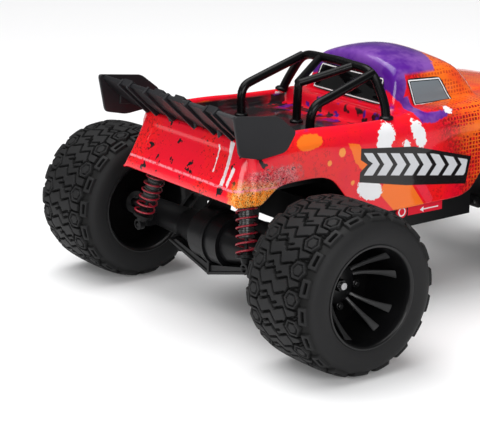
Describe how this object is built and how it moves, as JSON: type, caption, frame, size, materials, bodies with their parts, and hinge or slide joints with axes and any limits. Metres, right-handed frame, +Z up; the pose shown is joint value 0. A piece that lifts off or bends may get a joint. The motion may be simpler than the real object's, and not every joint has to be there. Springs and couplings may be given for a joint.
{
  "type": "remote control car",
  "caption": "Toy monster truck with sprung solid rear axle, steered front wheels, painted pickup shell, roll cage and tail wing.",
  "frame": {"origin": "on the ground, midway between the two axles, on the centre plane", "axes": "+X to the nose, +Y to the left, +Z up"},
  "size_m": [0.382, 0.3492, 0.1915],
  "materials": {
    "chassis_black": "satin moulded nylon",
    "axle_black": "satin moulded nylon",
    "battery_blue": "shrink wrap",
    "receiver_grey": "matte",
    "servo_black": "matte",
    "pin_steel": "turned",
    "shell_red": "gloss painted polycarbonate",
    "window_tint": "gloss tinted",
    "cage_black": "satin",
    "wing_black": "satin",
    "button_red": "gloss",
    "motor_can": "brushed can",
    "gear_white": "natural acetal",
    "pinion_brass": "machined",
    "rim_black": "semi-gloss",
    "tyre_rubber": "matte rubber",
    "spring_red": "gloss powder coat",
    "damper_grey": "anodised"
  },
  "bodies": {
    "chassis": {"chassis_tub": "chassis_black", "front_bumper": "chassis_black", "front_damper_tower": "chassis_black", "rear_damper_tower": "chassis_black", "battery_pack": "battery_blue", "battery_door": "chassis_black", "receiver_box": "receiver_grey", "steering_servo": "servo_black", "body_posts": "chassis_black", "hinge_pins": "pin_steel", "door_screws": "pin_steel"},
    "shell": {"body_shell": "shell_red", "window_panels": "window_tint", "roll_cage": "cage_black", "rear_wing": "wing_black"},
    "power_button": {"power_button": "button_red"},
    "rear_lower_links": {"rear_lower_links": "chassis_black"},
    "rear_upper_links": {"rear_upper_links": "chassis_black"},
    "rear_axle": {"axle_housing_left": "axle_black", "axle_housing_right": "axle_black", "skid_brace": "axle_black", "drive_motor": "motor_can"},
    "rear_wheelset": {"axle_shaft": "pin_steel", "spur_gear": "gear_white", "rear_left_rim": "rim_black", "rear_left_tyre": "tyre_rubber", "rear_right_rim": "rim_black", "rear_right_tyre": "tyre_rubber", "rear_wheel_nuts": "pin_steel"},
    "motor_pinion": {"motor_pinion": "pinion_brass"},
    "servo_horn": {"servo_horn": "gear_white"},
    "steering_rack": {"steering_rack": "chassis_black"},
    "rear_left_damper": {"rear_left_damper_body": "damper_grey", "rear_left_spring": "spring_red"},
    "rear_left_damper_rod": {"rear_left_damper_rod": "chassis_black"},
    "front_left_lower_arm": {"front_left_lower_arm": "chassis_black"},
    "front_left_upper_arm": {"front_left_upper_arm": "chassis_black"},
    "front_left_hub_carrier": {"front_left_hub_carrier": "chassis_black"},
    "front_left_knuckle": {"front_left_knuckle": "chassis_black"},
    "front_left_wheel": {"front_left_rim": "rim_black", "front_left_tyre": "tyre_rubber", "front_left_wheel_nut": "pin_steel"},
    "front_left_tie_rod": {"front_left_tie_rod": "chassis_black"},
    "front_left_damper": {"front_left_damper_body": "damper_grey", "front_left_spring": "spring_red"},
    "front_left_damper_rod": {"front_left_damper_rod": "chassis_black"},
    "rear_right_damper": {"rear_right_damper_body": "damper_grey", "rear_right_spring": "spring_red"},
    "rear_right_damper_rod": {"rear_right_damper_rod": "chassis_black"},
    "front_right_lower_arm": {"front_right_lower_arm": "chassis_black"},
    "front_right_upper_arm": {"front_right_upper_arm": "chassis_black"},
    "front_right_hub_carrier": {"front_right_hub_carrier": "chassis_black"},
    "front_right_knuckle": {"front_right_knuckle": "chassis_black"},
    "front_right_wheel": {"front_right_rim": "rim_black", "front_right_tyre": "tyre_rubber", "front_right_wheel_nut": "pin_steel"},
    "front_right_tie_rod": {"front_right_tie_rod": "chassis_black"},
    "front_right_damper": {"front_right_damper_body": "damper_grey", "front_right_spring": "spring_red"},
    "front_right_damper_rod": {"front_right_damper_rod": "chassis_black"}
  },
  "joints": [
    {"name": "body_lift", "type": "slide", "parent": "chassis", "child": "shell", "axis": [0, 0, 1], "range_m": [0, 0.05]},
    {"name": "power_button_press", "type": "slide", "parent": "chassis", "child": "power_button", "axis": [0, 1, 0], "range_m": [0, 0.0015], "stiffness_N_per_m": 300, "springref_m": -0.0005},
    {"name": "rear_axle_travel", "type": "hinge", "parent": "chassis", "child": "rear_lower_links", "pos_m": [-0.055, 0, 0.074], "axis": [0, 1, 0], "range_deg": [-5, 8], "stiffness_Nm_per_rad": 2.2, "springref_deg": -4.98},
    {"name": "rear_upper_link_swing", "type": "hinge", "parent": "chassis", "child": "rear_upper_links", "pos_m": [-0.055, 0, 0.098], "axis": [0, 1, 0], "range_deg": [-5, 8]},
    {"name": "rear_axle_level", "type": "hinge", "parent": "rear_lower_links", "child": "rear_axle", "pos_m": [-0.112, 0, 0.074], "axis": [0, 1, 0], "range_deg": [-8, 5]},
    {"name": "rear_wheels_spin", "type": "hinge", "parent": "rear_axle", "child": "rear_wheelset", "pos_m": [-0.131, 0, 0.06], "axis": [0, 1, 0], "continuous": true},
    {"name": "motor_pinion_spin", "type": "hinge", "parent": "rear_axle", "child": "motor_pinion", "pos_m": [-0.107, 0, 0.06], "axis": [0, 1, 0], "continuous": true},
    {"name": "steering_rack_slide", "type": "slide", "parent": "chassis", "child": "steering_rack", "axis": [0, 1, 0], "range_m": [-0.00454, 0.00454]},
    {"name": "steering_horn_turn", "type": "hinge", "parent": "chassis", "child": "servo_horn", "pos_m": [0.162, 0, 0.0815], "axis": [0, 0, 1], "range_deg": [-20.1, 20.1]},
    {"name": "rear_left_damper_swing", "type": "hinge", "parent": "chassis", "child": "rear_left_damper", "pos_m": [-0.146, 0.05, 0.125], "axis": [0.8051, 0.5932, 0], "range_deg": [-1.37, 2.19]},
    {"name": "rear_left_damper_stroke", "type": "slide", "parent": "rear_left_damper", "child": "rear_left_damper_rod", "axis": [-0.1997, 0.2711, -0.9416], "range_m": [-0.00752, 0.0047], "deforming": ["rear_left_spring"]},
    {"name": "front_left_travel", "type": "hinge", "parent": "chassis", "child": "front_left_lower_arm", "pos_m": [0.131, 0.024, 0.054], "axis": [1, 0, 0], "range_deg": [-5, 8], "stiffness_Nm_per_rad": 1.15, "springref_deg": -4.98},
    {"name": "front_left_upper_arm_swing", "type": "hinge", "parent": "chassis", "child": "front_left_upper_arm", "pos_m": [0.131, 0.024, 0.082], "axis": [1, 0, 0], "range_deg": [-5, 8]},
    {"name": "front_left_hub_level", "type": "hinge", "parent": "front_left_lower_arm", "child": "front_left_hub_carrier", "pos_m": [0.131, 0.084, 0.054], "axis": [1, 0, 0], "range_deg": [-8, 5]},
    {"name": "front_left_knuckle_steer", "type": "hinge", "parent": "front_left_hub_carrier", "child": "front_left_knuckle", "pos_m": [0.131, 0.095, 0.068], "axis": [0, 0, 1], "range_deg": [-14.54, 14.54]},
    {"name": "front_left_wheel_spin", "type": "hinge", "parent": "front_left_knuckle", "child": "front_left_wheel", "pos_m": [0.131, 0.1377, 0.06], "axis": [0, 1, 0], "continuous": true},
    {"name": "front_left_tie_rod_swing", "type": "hinge", "parent": "steering_rack", "child": "front_left_tie_rod", "pos_m": [0.149, 0.035, 0.073], "axis": [1, 0, 0], "range_deg": [-5, 8]},
    {"name": "front_left_damper_swing", "type": "hinge", "parent": "chassis", "child": "front_left_damper", "pos_m": [0.114, 0.044, 0.12], "axis": [1, 0, 0], "range_deg": [-0.199, 0.312]},
    {"name": "front_left_damper_stroke", "type": "slide", "parent": "front_left_damper", "child": "front_left_damper_rod", "axis": [0, 0.2964, -0.9551], "range_m": [-0.00541, 0.00339], "deforming": ["front_left_spring"]},
    {"name": "rear_right_damper_swing", "type": "hinge", "parent": "chassis", "child": "rear_right_damper", "pos_m": [-0.146, -0.05, 0.125], "axis": [-0.8051, 0.5932, 0], "range_deg": [-1.37, 2.19]},
    {"name": "rear_right_damper_stroke", "type": "slide", "parent": "rear_right_damper", "child": "rear_right_damper_rod", "axis": [-0.1997, -0.2711, -0.9416], "range_m": [-0.00752, 0.0047], "deforming": ["rear_right_spring"]},
    {"name": "front_right_travel", "type": "hinge", "parent": "chassis", "child": "front_right_lower_arm", "pos_m": [0.131, -0.024, 0.054], "axis": [-1, 0, 0], "range_deg": [-5, 8], "stiffness_Nm_per_rad": 1.15, "springref_deg": -4.98},
    {"name": "front_right_upper_arm_swing", "type": "hinge", "parent": "chassis", "child": "front_right_upper_arm", "pos_m": [0.131, -0.024, 0.082], "axis": [-1, 0, 0], "range_deg": [-5, 8]},
    {"name": "front_right_hub_level", "type": "hinge", "parent": "front_right_lower_arm", "child": "front_right_hub_carrier", "pos_m": [0.131, -0.084, 0.054], "axis": [-1, 0, 0], "range_deg": [-8, 5]},
    {"name": "front_right_knuckle_steer", "type": "hinge", "parent": "front_right_hub_carrier", "child": "front_right_knuckle", "pos_m": [0.131, -0.095, 0.068], "axis": [0, 0, 1], "range_deg": [-14.54, 14.54]},
    {"name": "front_right_wheel_spin", "type": "hinge", "parent": "front_right_knuckle", "child": "front_right_wheel", "pos_m": [0.131, -0.1377, 0.06], "axis": [0, 1, 0], "continuous": true},
    {"name": "front_right_tie_rod_swing", "type": "hinge", "parent": "steering_rack", "child": "front_right_tie_rod", "pos_m": [0.149, -0.035, 0.073], "axis": [-1, 0, 0], "range_deg": [-5, 8]},
    {"name": "front_right_damper_swing", "type": "hinge", "parent": "chassis", "child": "front_right_damper", "pos_m": [0.114, -0.044, 0.12], "axis": [-1, 0, 0], "range_deg": [-0.199, 0.312]},
    {"name": "front_right_damper_stroke", "type": "slide", "parent": "front_right_damper", "child": "front_right_damper_rod", "axis": [0, -0.2964, -0.9551], "range_m": [-0.00541, 0.00339], "deforming": ["front_right_spring"]}
  ],
  "couplings": [
    {"joint": "rear_upper_link_swing", "follows": "rear_axle_travel", "ratio": 1},
    {"joint": "rear_axle_level", "follows": "rear_axle_travel", "ratio": -1},
    {"joint": "motor_pinion_spin", "follows": "rear_wheels_spin", "ratio": -2},
    {"joint": "steering_horn_turn", "follows": "steering_rack_slide", "rad_per_m": -76.923},
    {"joint": "rear_left_damper_swing", "follows": "rear_axle_travel", "ratio": 0.27195},
    {"joint": "rear_left_damper_stroke", "follows": "rear_axle_travel", "m_per_rad": -0.053785},
    {"joint": "front_left_upper_arm_swing", "follows": "front_left_travel", "ratio": 1},
    {"joint": "front_left_hub_level", "follows": "front_left_travel", "ratio": -1},
    {"joint": "front_left_knuckle_steer", "follows": "steering_rack_slide", "rad_per_m": 55.556},
    {"joint": "front_left_tie_rod_swing", "follows": "front_left_travel", "ratio": 1},
    {"joint": "front_left_damper_swing", "follows": "front_left_travel", "ratio": 0.037773},
    {"joint": "front_left_damper_stroke", "follows": "front_left_travel", "m_per_rad": -0.038702},
    {"joint": "rear_right_damper_swing", "follows": "rear_axle_travel", "ratio": 0.27195},
    {"joint": "rear_right_damper_stroke", "follows": "rear_axle_travel", "m_per_rad": -0.053785},
    {"joint": "front_right_upper_arm_swing", "follows": "front_right_travel", "ratio": 1},
    {"joint": "front_right_hub_level", "follows": "front_right_travel", "ratio": -1},
    {"joint": "front_right_knuckle_steer", "follows": "steering_rack_slide", "rad_per_m": 55.556},
    {"joint": "front_right_tie_rod_swing", "follows": "front_right_travel", "ratio": 1},
    {"joint": "front_right_damper_swing", "follows": "front_right_travel", "ratio": 0.037773},
    {"joint": "front_right_damper_stroke", "follows": "front_right_travel", "m_per_rad": -0.038702}
  ]
}
